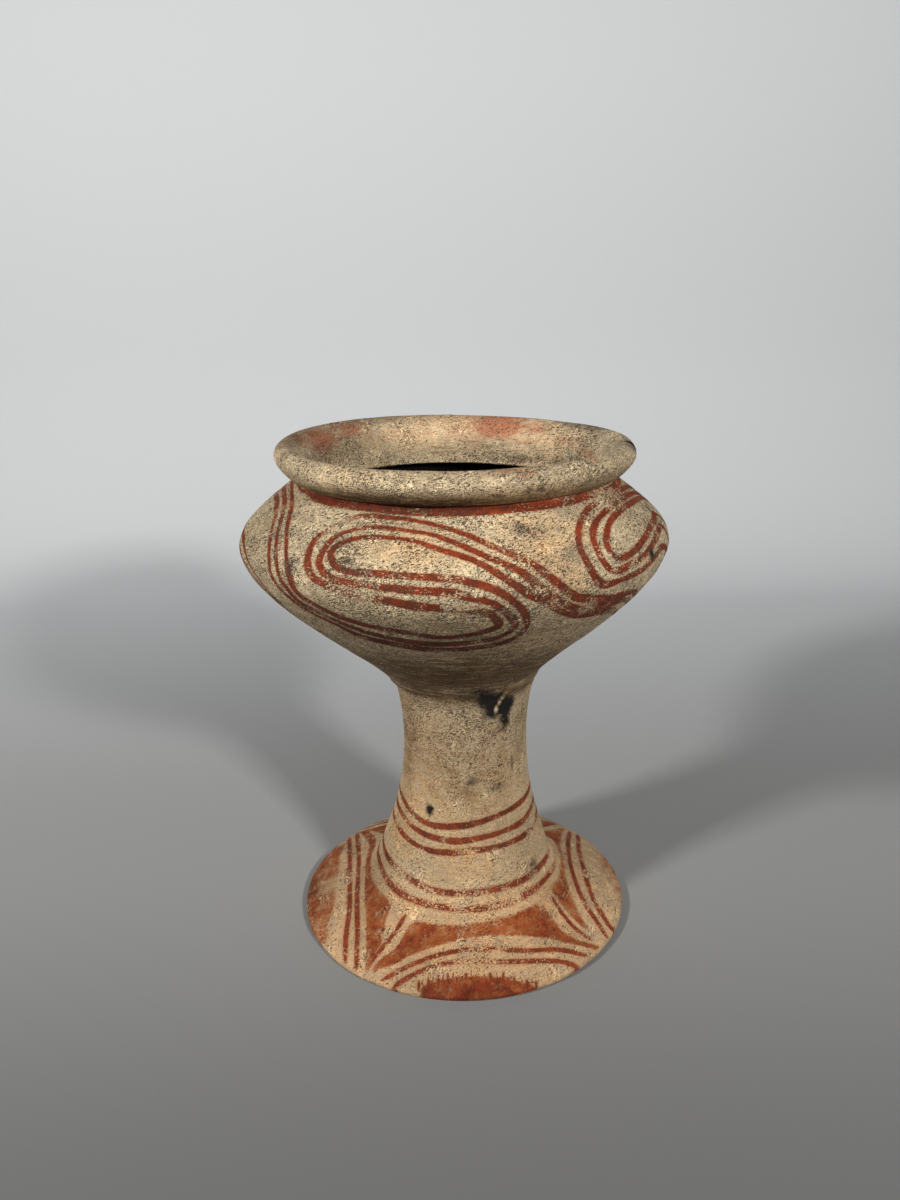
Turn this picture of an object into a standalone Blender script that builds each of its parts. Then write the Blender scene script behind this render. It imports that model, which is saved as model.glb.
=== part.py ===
"""A footed vase of fired clay, built up and smoothed by hand.

A wide bowl with a rolled lip stands on a tall hollow foot that flares like a trumpet. It was
fired as one piece, so it is one closed solid: open at the mouth, open under the foot, and with
a clay floor between the two hollows.
"""

import math

import bmesh
import bpy
from mathutils import Vector
from mathutils.geometry import interpolate_bezier

NAME = "vase"

# Sizes are in metres. A rise is the height of one part of the outline above the part below it.
# The foot is measured up from the ground and the bowl down from the top of the lip, so the stem
# takes what is left between its ankle and its waist.
HEIGHT = 0.2086

# Foot, from its edge up to the ankle where it meets the stem
FOOT_RADIUS = 0.0718
FOOT_EDGE_ROUNDING = 0.0009
FOOT_EDGE_RISE = 0.0026
ANKLE_RADIUS = 0.0406
ANKLE_RISE = 0.0172
FOOT_WALL = 0.0052

# Stem, from the ankle past its waist up to the joint with the bowl
WAIST_RADIUS = 0.0265
STEM_WALL = 0.0085
JOINT_RADIUS = 0.0295
JOINT_RISE = 0.0262

# Bowl, from the joint over its underside and belly up to the neck
UNDERSIDE_RADIUS = 0.0373
UNDERSIDE_RISE = 0.0110
BELLY_RADIUS = 0.0852
BELLY_RISE = 0.0531
NECK_RADIUS = 0.0616
NECK_RISE = 0.0241
BOWL_WALL = 0.0065
BOWL_FLOOR_RISE = 0.0110
FLOOR_THICKNESS = 0.0120

# Lip and mouth, above the neck
THROAT_RADIUS = 0.0560
THROAT_DROP = 0.0070
LIP_RADIUS = 0.0706
LIP_RISE = 0.0087
LIP_ROLL = 0.0045
LIP_TOP_RADIUS = 0.0669
LIP_INNER_RADIUS = 0.0605
LIP_INNER_DROP = 0.0034

# Slopes of the outline, in degrees from level, for someone who climbs it with the pot on the left
FOOT_EDGE_SLOPE = 148.0
ANKLE_SLOPE = 112.0
UPRIGHT = 90.0
JOINT_SLOPE = 76.0
UNDERSIDE_SLOPE = 43.0
NECK_SLOPE = 138.0
LIP_UNDERSIDE_SLOPE = 15.0
LIP_INNER_SLOPE = 232.0
FUNNEL_SLOPE = 262.0

# What the hand left uneven: how far each ring's centre stands to the right, and how the rim tips
FOOT_DRIFT = 0.0014
STEM_DRIFT = 0.0033
UNDERSIDE_DRIFT = 0.0015
RIM_DRIFT = 0.0011
RIM_TIP_TO_RIGHT = -0.0130
RIM_TIP_TO_BACK = 0.0200
RIM_WARP = -0.0005

# How far each end's slope carries into a run of the outline, as a share of the run
EASE = 0.36
UNDERSIDE_EASES = (0.41, 0.21)
SHOULDER_EASES = (0.25, 0.31)
LIP_UNDERSIDE_EASES = (0.38, 0.18)
LIP_ROLL_EASES = (0.34, 0.34)

# Fineness of the faceted solid: steps around, and pieces along each run of the outline
STEPS_AROUND = 72
FOOT_PIECES = 5
STEM_PIECES = 4
STEM_TOP_PIECES = 2
JOINT_PIECES = 3
UNDERSIDE_PIECES = 6
SHOULDER_PIECES = 5
LIP_UNDERSIDE_PIECES = 4
LIP_ROLL_PIECES = 3
LIP_INNER_PIECES = 2
FUNNEL_PIECES = 3
THROAT_PIECES = 2
FLOOR_PIECES = 3
DOME_PIECES = 3
SAME_POINT = 0.00001
SHARPEST_SMOOTH_ANGLE = 50.0

CLAY_COLOUR = (0.560, 0.440, 0.300, 1.0)
CLAY_ROUGHNESS = 0.9


def heights():
    """Height above the ground of each named part of the outline, worked out from the rises."""
    edge = FOOT_EDGE_RISE
    ankle = edge + ANKLE_RISE
    lip = HEIGHT - LIP_ROLL
    neck = lip - LIP_RISE
    belly = neck - NECK_RISE
    underside = belly - BELLY_RISE
    joint = underside - UNDERSIDE_RISE
    waist = joint - JOINT_RISE
    return {
        "edge": edge,
        "ankle": ankle,
        "waist": waist,
        "joint": joint,
        "underside": underside,
        "belly": belly,
        "neck": neck,
        "lip": lip,
        "top": HEIGHT,
        "floor": joint + BOWL_FLOOR_RISE,
    }


def direction(slope):
    """Unit vector, radius and height, that leaves level at this slope."""
    return Vector((math.cos(math.radians(slope)), math.sin(math.radians(slope))))


def sweep(start, start_slope, end, end_slope, pieces, eases=(EASE, EASE)):
    """Points of one curve from start to end that leaves and arrives at the two slopes."""
    reach = (end - start).length
    handle_out = start + direction(start_slope) * reach * eases[0]
    handle_in = end - direction(end_slope) * reach * eases[1]
    return interpolate_bezier(start, handle_out, handle_in, end, pieces + 1)


def joined(*runs):
    """One run of points from several, each starting where the last one ended."""
    points = list(runs[0])
    for run in runs[1:]:
        points.extend(run[1:])
    return points


def inset(points, wall_at):
    """The run moved into the clay by a wall, square to itself; wall_at gives the wall at a height."""
    moved = []
    for index, point in enumerate(points):
        before = points[max(index - 1, 0)]
        after = points[min(index + 1, len(points) - 1)]
        along = (after - before).normalized()
        moved.append(point + Vector((-along.y, along.x)) * wall_at(point.y))
    return moved


def foot_and_stem_outside(z):
    """Outline from the foot's edge up to the joint."""
    edge = Vector((FOOT_RADIUS, z["edge"]))
    ankle = Vector((ANKLE_RADIUS, z["ankle"]))
    waist = Vector((WAIST_RADIUS, z["waist"]))
    joint = Vector((JOINT_RADIUS, z["joint"]))
    return joined(
        sweep(edge, FOOT_EDGE_SLOPE, ankle, ANKLE_SLOPE, FOOT_PIECES),
        sweep(ankle, ANKLE_SLOPE, waist, UPRIGHT, STEM_PIECES),
        sweep(waist, UPRIGHT, joint, JOINT_SLOPE, STEM_TOP_PIECES),
    )


def bowl_outside(z):
    """Outline from the underside of the bowl, over the belly, to the neck."""
    underside = Vector((UNDERSIDE_RADIUS, z["underside"]))
    belly = Vector((BELLY_RADIUS, z["belly"]))
    neck = Vector((NECK_RADIUS, z["neck"]))
    return joined(
        sweep(underside, UNDERSIDE_SLOPE, belly, UPRIGHT, UNDERSIDE_PIECES, UNDERSIDE_EASES),
        sweep(belly, UPRIGHT, neck, NECK_SLOPE, SHOULDER_PIECES, SHOULDER_EASES),
    )


def lip(z, throat):
    """Outline from the neck over the rolled lip and down the funnel of the mouth."""
    neck = Vector((NECK_RADIUS, z["neck"]))
    widest = Vector((LIP_RADIUS, z["lip"]))
    top = Vector((LIP_TOP_RADIUS, z["top"]))
    inner = Vector((LIP_INNER_RADIUS, z["top"] - LIP_INNER_DROP))
    slope_in = LIP_UNDERSIDE_SLOPE
    return joined(
        sweep(neck, slope_in, widest, UPRIGHT, LIP_UNDERSIDE_PIECES, LIP_UNDERSIDE_EASES),
        sweep(widest, UPRIGHT, top, 2 * UPRIGHT, LIP_ROLL_PIECES, LIP_ROLL_EASES),
        sweep(top, 2 * UPRIGHT, inner, LIP_INNER_SLOPE, LIP_INNER_PIECES),
        sweep(inner, LIP_INNER_SLOPE, throat, FUNNEL_SLOPE, FUNNEL_PIECES),
    )


def bowl_inside(z, outside, throat):
    """The bowl's inner wall, from the throat down to the middle of its floor."""
    wall = inset(outside, lambda height: BOWL_WALL)
    wall.reverse()
    middle = Vector((0, z["floor"]))
    return joined(
        sweep(throat, FUNNEL_SLOPE, wall[0], NECK_SLOPE + 2 * UPRIGHT, THROAT_PIECES),
        wall,
        sweep(wall[-1], UNDERSIDE_SLOPE + 2 * UPRIGHT, middle, 2 * UPRIGHT, FLOOR_PIECES),
    )


def hollow_foot(z, outside):
    """Underside of the pot, from the foot's edge across its flat ring and up the hollow stem."""
    ceiling = z["floor"] - FLOOR_THICKNESS

    def wall_at(height):
        share = min(max((height - z["edge"]) / (z["waist"] - z["edge"]), 0), 1)
        return FOOT_WALL + (STEM_WALL - FOOT_WALL) * math.sqrt(share)

    wall = inset(outside, wall_at)
    first = next(index for index, point in enumerate(wall) if point.y > 0)
    below, above = wall[first - 1], wall[first]
    ring_inside = below.lerp(above, below.y / (below.y - above.y))
    edge = [
        Vector((FOOT_RADIUS, z["edge"])),
        Vector((FOOT_RADIUS, FOOT_EDGE_ROUNDING)),
        Vector((FOOT_RADIUS - FOOT_EDGE_ROUNDING, 0)),
        ring_inside,
    ]
    bore = [point for point in wall[first:] if point.y < ceiling - STEM_WALL]
    dome = sweep(bore[-1], UPRIGHT, Vector((0, ceiling)), 2 * UPRIGHT, DOME_PIECES)
    return edge + joined(bore, dome)


def outline():
    """The whole outline, from the bowl's floor, out over the lip and down, to the hollow's top."""
    z = heights()
    bowl = bowl_outside(z)
    foot = foot_and_stem_outside(z)
    throat = Vector((THROAT_RADIUS, z["neck"] - THROAT_DROP))
    inside_up = list(reversed(bowl_inside(z, bowl, throat)))
    lip_down = list(reversed(lip(z, throat)))
    bowl_down = list(reversed(bowl))
    joint_up = sweep(foot[-1], JOINT_SLOPE, bowl[0], UNDERSIDE_SLOPE, JOINT_PIECES)
    joint_down = list(reversed(joint_up))
    foot_down = list(reversed(foot))
    return joined(inside_up, lip_down, bowl_down, joint_down, foot_down, hollow_foot(z, foot))


def turned(name, points):
    """A closed solid of revolution from an outline that starts and ends on the axis."""
    profile = bmesh.new()
    verts = [profile.verts.new((radius, 0, height)) for radius, height in points]
    for start, end in zip(verts, verts[1:]):
        profile.edges.new((start, end))
    mesh = bpy.data.meshes.new(name + "_outline")
    profile.to_mesh(mesh)
    profile.free()
    turning = bpy.data.objects.new(name + "_turning", mesh)
    bpy.context.scene.collection.objects.link(turning)
    screw = turning.modifiers.new("turn", "SCREW")
    screw.steps = STEPS_AROUND
    screw.render_steps = STEPS_AROUND
    screw.use_merge_vertices = True
    screw.merge_threshold = SAME_POINT
    evaluated = turning.evaluated_get(bpy.context.evaluated_depsgraph_get())
    solid = bpy.data.meshes.new_from_object(evaluated)
    solid.name = name
    bpy.data.objects.remove(turning)
    bpy.data.meshes.remove(mesh)
    return solid


def eased(height, stations):
    """Value at a height between stations of (height, value), with soft turns at each."""
    if height <= stations[0][0]:
        return stations[0][1]
    for (low, start), (high, end) in zip(stations, stations[1:]):
        if height <= high:
            share = (height - low) / (high - low)
            return start + (end - start) * share * share * (3 - 2 * share)
    return stations[-1][1]


def lean(mesh):
    """Moves the rings a little off one axis and tips the rim, as the hand left them."""
    z = heights()
    drift = (
        (0, FOOT_DRIFT),
        (z["waist"], STEM_DRIFT),
        (z["joint"], STEM_DRIFT),
        (z["underside"], UNDERSIDE_DRIFT),
        (z["belly"], 0),
        (z["neck"], RIM_DRIFT),
    )
    tip = ((z["belly"], 0), (z["neck"], 1))
    for vert in mesh.vertices:
        height = vert.co.z
        tipped = eased(height, tip)
        around = math.atan2(vert.co.y, vert.co.x)
        tip_rise = RIM_TIP_TO_RIGHT * vert.co.x + RIM_TIP_TO_BACK * vert.co.y
        rise = tipped * (tip_rise + RIM_WARP * math.sin(2 * around))
        vert.co += Vector((eased(height, drift), 0, rise))


def clay():
    """The pale fired clay, before paint."""
    material = bpy.data.materials.new(NAME)
    material.use_nodes = True
    shader = material.node_tree.nodes["Principled BSDF"]
    shader.inputs["Base Color"].default_value = CLAY_COLOUR
    shader.inputs["Roughness"].default_value = CLAY_ROUGHNESS
    shader.inputs["Metallic"].default_value = 0.0
    return material


def main():
    for old in list(bpy.data.objects):
        bpy.data.objects.remove(old)
    collection = bpy.data.collections.new("footed_vase")
    bpy.context.scene.collection.children.link(collection)
    mesh = turned(NAME, outline())
    lean(mesh)
    mesh.shade_smooth()
    mesh.set_sharp_from_angle(angle=math.radians(SHARPEST_SMOOTH_ANGLE))
    mesh.materials.append(clay())
    collection.objects.link(bpy.data.objects.new(NAME, mesh))


main()
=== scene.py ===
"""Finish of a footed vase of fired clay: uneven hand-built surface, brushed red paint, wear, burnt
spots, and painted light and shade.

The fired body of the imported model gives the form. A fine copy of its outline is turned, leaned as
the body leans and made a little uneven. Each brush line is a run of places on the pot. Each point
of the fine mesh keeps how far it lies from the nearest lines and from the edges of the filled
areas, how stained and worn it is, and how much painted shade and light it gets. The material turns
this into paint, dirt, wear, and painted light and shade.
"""

import math

import bmesh
import bpy
import numpy as np
from bpy.props import FloatProperty, FloatVectorProperty, IntProperty, PointerProperty
from mathutils import Matrix, Vector, noise
from mathutils.kdtree import KDTree


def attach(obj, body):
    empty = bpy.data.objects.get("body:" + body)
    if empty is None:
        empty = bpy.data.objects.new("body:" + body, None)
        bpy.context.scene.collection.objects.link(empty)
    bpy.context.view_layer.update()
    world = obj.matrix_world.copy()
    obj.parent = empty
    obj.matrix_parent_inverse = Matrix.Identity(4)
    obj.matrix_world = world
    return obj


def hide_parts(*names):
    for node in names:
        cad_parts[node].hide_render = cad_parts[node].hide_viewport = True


bl_info = {
    "name": "Footed clay vase",
    "version": (1, 0, 0),
    "blender": (4, 5, 0),
    "location": "View3D > Sidebar > Vase",
    "description": "Turns, weathers and paints a footed clay vase, and lights it for a still",
    "category": "Object",
}

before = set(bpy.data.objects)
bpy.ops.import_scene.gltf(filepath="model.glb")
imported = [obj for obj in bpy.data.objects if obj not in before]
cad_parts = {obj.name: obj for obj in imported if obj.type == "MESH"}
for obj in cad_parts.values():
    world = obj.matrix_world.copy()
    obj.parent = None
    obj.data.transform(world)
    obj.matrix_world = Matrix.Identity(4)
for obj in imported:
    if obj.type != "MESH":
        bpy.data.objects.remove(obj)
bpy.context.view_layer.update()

MM = 0.001
SAME_POINT = 0.00001
TURN = 2 * math.pi

# Places on the bowl and the stem are given as degrees round from the front, positive to the
# right, and height in mm. Three lines run side by side round the bowl, five times the same
# figure. In each, a line comes from under the loop on its left, turns back at the right, runs
# left to the loop's end, passes over the loop and runs down under the next one.
FIGURES = (-144, -72, 0, 72, 144)
SCROLL = {
    "a": {
        "turn": ((-13.5, 155), (-4.5, 153), (2, 153.5), (9.5, 157), (8, 162.5), (4, 165)),
        "back": (
            (-1.5, 166), (-9, 167), (-16, 168.5), (-24.5, 169.5), (-30, 171.5), (-34.5, 173.5),
            (-37, 177), (-39.5, 183), (-38, 187), (-33, 191), (-27.5, 192.3),
        ),
        "over": (
            (-20.5, 192.3), (-10, 191.5), (0, 189), (10, 184), (15, 181), (18, 178.5),
            (23, 172), (28, 166), (34.5, 163), (40, 161), (51, 160),
        ),
    },
    "b": {
        "turn": ((-9, 149), (-1, 149), (6.5, 150.3), (12, 152.5), (14, 158), (9, 166.2), (2.5, 170)),
        "back": (
            (-1.5, 171.7), (-11, 172.5), (-17, 173), (-28, 173.7), (-33.5, 177.5), (-34.5, 181.5),
            (-34, 185.5), (-29.5, 188.3), (-23, 189.5),
        ),
        "over": (
            (-16, 189.3), (-8.5, 188.5), (-3, 187), (1.5, 185), (7, 182), (14.5, 177),
            (18.5, 171.5), (24, 165.5), (29.5, 160.5), (36.5, 158), (50, 157),
        ),
    },
    "c": {
        "turn": (
            (-10, 145.5), (0, 145.5), (11.5, 147.5), (16, 151.5), (17, 156.5), (15.5, 162.5),
            (12, 168.3), (8, 172.2),
        ),
        "back": (
            (1, 175.5), (-4.5, 176.3), (-13, 176.8), (-26.5, 177), (-31.5, 180.5), (-31.5, 183.5),
            (-27.5, 186), (-21.5, 187),
        ),
        "over": (
            (-11.5, 186.5), (-5, 184.5), (4, 181), (11, 175), (15.5, 170), (20, 166),
            (26, 160), (31.5, 157), (38, 155.5), (47.5, 153),
        ),
    },
}
# The hand drew the figures on the left and the right a little differently from the front one.
LEFT_OVER = {
    "a": (
        (-69.5, 192), (-61, 189.5), (-52.5, 184.5), (-48.5, 181.5), (-44.5, 177), (-41.5, 171.5),
        (-41, 168), (-39.5, 165.3), (-36, 163), (-30, 159.5), (-22, 156.5),
    ),
    "b": (
        (-75.5, 190.5), (-66.5, 189), (-61.5, 187), (-54, 182), (-48.5, 176.5), (-46, 171.5),
        (-44, 167), (-42.5, 164), (-40.5, 161.5), (-35.5, 159), (-27, 154), (-17, 151),
    ),
    "c": (
        (-77.5, 188.5), (-70, 187.5), (-65, 186), (-56.5, 181), (-51.5, 176), (-48.5, 168),
        (-45.5, 163.5), (-42.5, 160.5), (-37.5, 157), (-33, 154.5), (-27.5, 150), (-19, 147.5),
    ),
}
RIGHT_BACK = {
    "a": (
        (64.5, 172.5), (58.5, 171.5), (51.5, 169), (43.5, 168), (36.5, 168), (32.5, 173),
        (31.5, 181), (34.5, 186.5), (42, 190.5), (50, 192), (61.5, 192), (79, 191),
    ),
    "b": (
        (71.5, 178), (64, 177.5), (53, 174), (45.5, 172.5), (40, 172), (36.5, 175.5),
        (36.5, 182), (40.5, 186.5), (49, 189), (57.5, 190), (68.5, 190), (79.5, 188.5),
    ),
    "c": (
        (76, 181.3), (70, 181), (61, 180), (55, 178.5), (48.5, 176.5), (43, 175.5), (40, 177.5),
        (40.5, 181.5), (45.5, 185.5), (50, 187), (57.5, 188), (67.5, 188), (81.5, 186),
    ),
}
RIGHT_OVER = {
    "a": ((92, 187), (101, 178), (108, 169), (118, 161)),
    "b": ((92, 183.5), (100, 174), (107, 164), (116, 157.5)),
    "c": ((92, 180), (98, 171), (104, 161), (113, 154)),
}
OWN_WAY = {(-72, "over"): LEFT_OVER, (72, "back"): RIGHT_BACK, (72, "over"): RIGHT_OVER}
NECK_BAND = (
    (-150, 194.6), (-110, 194.4), (-72, 194.8), (-60, 194.6), (-50, 194.3), (-40, 194.3),
    (-20, 194.2), (0, 194.1), (25, 194.1), (50, 193.9), (70, 193.5), (100, 194), (140, 194.5),
)
STEM_BANDS = {
    "a": (
        ((-72, 55.7), (-54, 53.5), (-34, 51.4), (-13, 52), (7, 53.4), (31, 55.2), (62, 56.1),
         (100, 57.5), (150, 58), (-160, 58), (-110, 57.3)),
        ((-83, 29.9), (-61, 28.6), (-38, 27), (-19, 25.7), (3, 25.8), (36, 25.5), (62, 25.4),
         (89, 24), (130, 25.5), (180, 27), (-130, 28.5)),
    ),
    "b": (
        ((-73, 49.8), (-54, 48.2), (-34, 46.7), (-12, 46.2), (3, 46.8), (25, 47.7), (50, 47.8),
         (63, 48.7), (100, 50), (150, 51.5), (-160, 51.8), (-110, 51)),
        ((-92, 23.4), (-74, 23.2), (-52, 21), (-30, 20.2), (0, 19.8), (28, 19.7), (60, 19.7),
         (93, 18), (130, 18.5), (180, 20.5), (-130, 22.5)),
    ),
    "c": (
        ((-63, 42.8), (-40, 41.2), (-21, 41), (3, 42.2), (30, 42.3), (54, 42.1), (77, 43.1),
         (110, 44.5), (160, 45.5), (-150, 45.5), (-105, 44.5)),
    ),
}

# Places on the foot are given as seen from above: mm to the right of its middle and mm towards
# the front. Four pairs of lines cut the foot like chords.
FOOT_LINES = {
    "a": (
        ((-34, 62), (-26.7, 59.6), (-15.3, 55.8), (-3.7, 53.3), (11, 52.5), (24, 52.4), (38, 50.3),
         (50, 50)),
        ((-57, -43), (-54.5, -22.6), (-51.9, 4.1), (-50.3, 23.4), (-50.4, 39), (-49.5, 51)),
        ((54.5, -42), (51.2, -25), (49.4, -4.1), (50.5, 12.1), (53.3, 24.5), (58, 34.9), (60, 39)),
        ((36, -61), (20, -56), (2, -52.5), (-18, -52), (-36, -51), (-51, -50)),
    ),
    "b": (
        ((-30, 65.5), (-22.6, 62.5), (-13.5, 59.6), (-3.8, 58.1), (10.5, 58.1), (24.4, 57.1),
         (37.3, 55.5), (46, 55.5)),
        ((-53.4, -46), (-51.3, -30.3), (-48.5, -4.6), (-46.8, 24.8), (-45.4, 40.4), (-44.6, 55.5)),
        ((58, -40), (55.7, -19.7), (55.6, 1.7), (56.8, 18.1), (60.2, 28.8), (63, 34.5)),
        ((33, -65), (18, -60), (0, -57), (-20, -57), (-36, -56.5), (-46, -55)),
    ),
}
THIN_SHARE = 0.9
THIN_LINES = (
    ((-25, 36.2), (-26.5, 38), (-31, 44), (-36, 50), (-38.8, 55)),
    ((37.8, 24.2), (44, 35), (48.8, 40), (52.8, 42.2)),
)
# Short strokes side by side at the front edge, along an arch.
TICKS = (-19, -15.2, -11.2, -7.6, -4, -0.4, 4.7, 9.2, 14.5, 18.6, 23.6, 27.4)
TICK_FRONT = 66
TICK_MIDDLE = 4
TICK_SPREAD = 27
TICK_SAG = 0.006

# Filled areas of the foot: how thickly they are painted, and their edge. None reaches higher than
# the first number (mm), and the second (mm) is the depth that is written where there is none.
WASH_TOP = 26
NO_WASH = -12.0
WASHES = (
    (0.95, (
        (-38.8, 57.6), (-30.2, 57), (-22.2, 53.9), (-14.8, 51.8), (-4.8, 49.3), (5.2, 47.9),
        (17, 46.6), (32, 45.7), (41, 46.2), (50, 46.5), (54.5, 46.2), (54.8, 43.8), (47, 43.7),
        (41.2, 40.8), (37.8, 36.5), (33.2, 30.6), (24.8, 35.6), (14.9, 40.8), (0.6, 43.8),
        (-9.5, 43.2), (-21.2, 40), (-25, 43.2), (-28.5, 49), (-34, 52.6),
    )),
    (0.9, (
        (-41, 58.5), (-40.9, 54.5), (-42.2, 35.5), (-43.8, 19.5), (-45, -1.8), (-45.2, -23.3),
        (-50, -40), (-53.5, -49), (-44, -37), (-41.6, -20), (-42.1, 0), (-40.6, 12.5),
        (-36.5, 21.5), (-33, 27), (-31.5, 31.5), (-33.4, 36), (-34.2, 45), (-36.6, 50), (-38.6, 56),
    )),
    (0.85, (
        (43.4, -22), (44.6, -8), (43.6, 3), (41.6, 13), (38, 20.7), (41, 26), (47.5, 35),
        (52, 38), (56, 43), (51.6, 34.7), (48, 22), (46.6, 9), (46.9, -8), (47.6, -22),
        (51, -38), (54, -47), (45, -38), (37, -31), (40.5, -26),
    )),
    (0.9, (
        (50, -51), (36, -48), (22, -46), (4, -48), (-14, -48), (-34, -46), (-50, -46),
        (-44, -40), (-34, -30), (-24, -36), (-12, -42), (4, -43.5), (18, -40.5), (32, -31),
        (42, -40),
    )),
    (1.1, (
        (-19, 71), (-17.5, 67), (-12, 65.5), (-5, 64.4), (3, 64), (12, 64.3), (20, 65.4),
        (27, 66.6), (30, 68.5), (30, 80), (-24, 80),
    )),
    (0.81, (
        (-58, -33), (-58, -20), (-57, -6), (-57, 6), (-56.5, 18), (-58, 30), (-59.5, 38),
        (-78, 40), (-84, 0), (-74, -38),
    )),
    (0.5, (
        (58, -24), (61, -12), (62.5, -3), (64, 5), (65.5, 15), (67, 24), (80, 24), (82, -24),
    )),
    (0.9, (
        (24, -67), (12, -65), (0, -64), (-14, -64.5), (-26, -67), (-26, -82), (24, -82),
    )),
)

# Stains and marks of each kind: degrees, height, half width, half height (mm) and strength.
MARKS = {
    "soot_and_shade": (
        (17, 109, 6, 5.5, 0.9), (25, 106, 6.5, 8, 1.15), (34, 104, 5, 7, 1), (36, 97, 3.2, 5, 0.8),
        (12, 113, 8, 4, 0.6), (-32, 57.4, 2.2, 2.8, 0.85), (5, 71.5, 3, 2.6, 0.5),
        (27, 67.5, 5.5, 2.6, 0.5), (46, 75, 1.6, 4.5, 0.55), (52, 28, 5, 5, 0.5),
        (55.5, 173, 2.4, 3.4, 0.85), (50, 174.5, 2, 2.4, 0.5), (-44, 172, 0.9, 1.6, 0.8),
    ),
    "blue": (
        (-42.3, 176.3, 3.2, 3.6, 0.75), (-26.4, 179.2, 3, 2.6, 0.7), (-22, 176.8, 4.5, 1.2, 0.5),
        (17.3, 188.6, 3.4, 3, 0.85), (21, 187.2, 5, 2.6, 0.5), (30, 181, 6, 4, 0.4),
        (41, 177.5, 3, 2.5, 0.4),
    ),
    # Grey: clouding of the fire, most on the lower bowl; the marks at both sides of the stem are
    # painted shade.
    "grey": (
        (0, 150, 75, 15, 0.5), (5, 124, 62, 22, 1.15), (-66, 88, 16, 36, 0.6),
        (58, 84, 12, 30, 0.45), (0, 78, 34, 40, 0.5), (-70, 22, 20, 20, 0.4), (0, 44, 60, 26, 0.3),
        (-88, 3, 26, 7, 0.55), (4, 2, 34, 4, 0.4), (-60, 140, 60, 26, 0.5), (-64, 182, 20, 12, 0.3),
        (60, 126, 50, 16, 0.45), (150, 136, 90, 26, 0.62), (-150, 150, 60, 24, 0.4),
        (2, 160, 26, 6, 0.55), (22, 152, 16, 10, 0.4), (20, 171, 14, 6, 0.3),
        (66, 92, 16, 22, 0.35), (-34, 97, 12, 14, 0.22), (-30, 70, 12, 8, 0.2),
        (170, 84, 22, 24, 0.35), (-36, 162, 14, 5, 0.5), (-6, 66, 22, 9, 0.55),
        (24, 177, 9, 6, 0.3),
    ),
    "warm": (
        (-9, 184, 22, 6, 0.8), (24, 184, 20, 9, 0.8), (27, 172, 9, 12, 0.75), (22, 190, 16, 4, 0.5),
        (-1, 40, 12, 10, 0.8), (-50, 78, 20, 34, 0.6), (0, 62, 20, 10, 0.5), (0, 12, 75, 14, 0.35),
        (24, 78, 14, 10, 0.4), (-60, 45, 12, 12, 0.7), (26, 146, 18, 7, 0.35),
        (-130, 180, 34, 14, 0.6), (140, 176, 30, 16, 0.6),
    ),
    # Pale: the four small ones are bare streaks through the burnt patch near the seam; the broad ones
    # on the bowl's top are painted light.
    "pale": (
        (-60, 183, 20, 12, 0.25), (25.5, 103.5, 1.2, 2.5, 1.2), (27.7, 106.3, 1.2, 2.5, 1.2),
        (30, 109.2, 1.2, 2.5, 1.2), (32.3, 112, 1.2, 2.5, 1.2), (3, 178, 22, 3, 0.35),
        (4, 184, 40, 9, 0.5), (-14, 180, 16, 5, 0.6), (50, 185, 26, 9, 0.35),
        (18, 190.6, 14, 5, 0.5),
    ),
    "wear": (
        (-23, 169, 12, 3, 0.5), (-23, 173.5, 9, 1.8, 0.22), (2, 166.5, 9, 2, 0.7),
        (3, 171, 8, 1.5, 0.6), (-36, 190, 12, 4, 0.5), (-64, 184, 10, 10, 0.5),
        (58, 192, 16, 3, 0.7), (42, 153.5, 7, 2.5, 0.3), (-86, 7, 10, 4, 0.8), (17, 171, 5, 3, 0.4),
        (41, 174, 4, 3, 0.4), (50, 173, 8, 3, 0.35), (-64, 46, 8, 7, 0.45), (64, 43, 10, 5, 0.5),
        (0, 42, 5, 2, 0.7), (0, 23, 24, 5, 0.55), (-56, 25, 14, 5, 0.45), (30, 20, 12, 3, 0.55),
        (3, 8, 16, 3, 0.4), (100, 23, 20, 9, 0.8),
    ),
    "press": (
        (22, 170, 10, 8, 0.4), (30, 164, 8, 5, 0.25), (36, 178, 12, 14, 0.25),
        (-36, 181, 9, 10, 0.2), (9, 159, 7, 7, 0.35), (-4, 167, 10, 3, 0.25),
        (-42, 171, 3.5, 5, 0.45), (-66, 194.5, 14, 3, -0.65), (38, 158.5, 13, 8, 1.1),
        (0, 49, 60, 10, 0.15), (0, 22, 70, 8, 0.2), (-62, 176, 12, 18, -0.55),
        (-14, 148, 34, 5, 1.1), (-11, 161, 34, 9, 0.45), (-49, 180, 13, 13, -0.35),
        (-18, 189.5, 26, 5, -0.35), (29.5, 165.5, 13, 6, 0.6),
    ),
}
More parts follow.
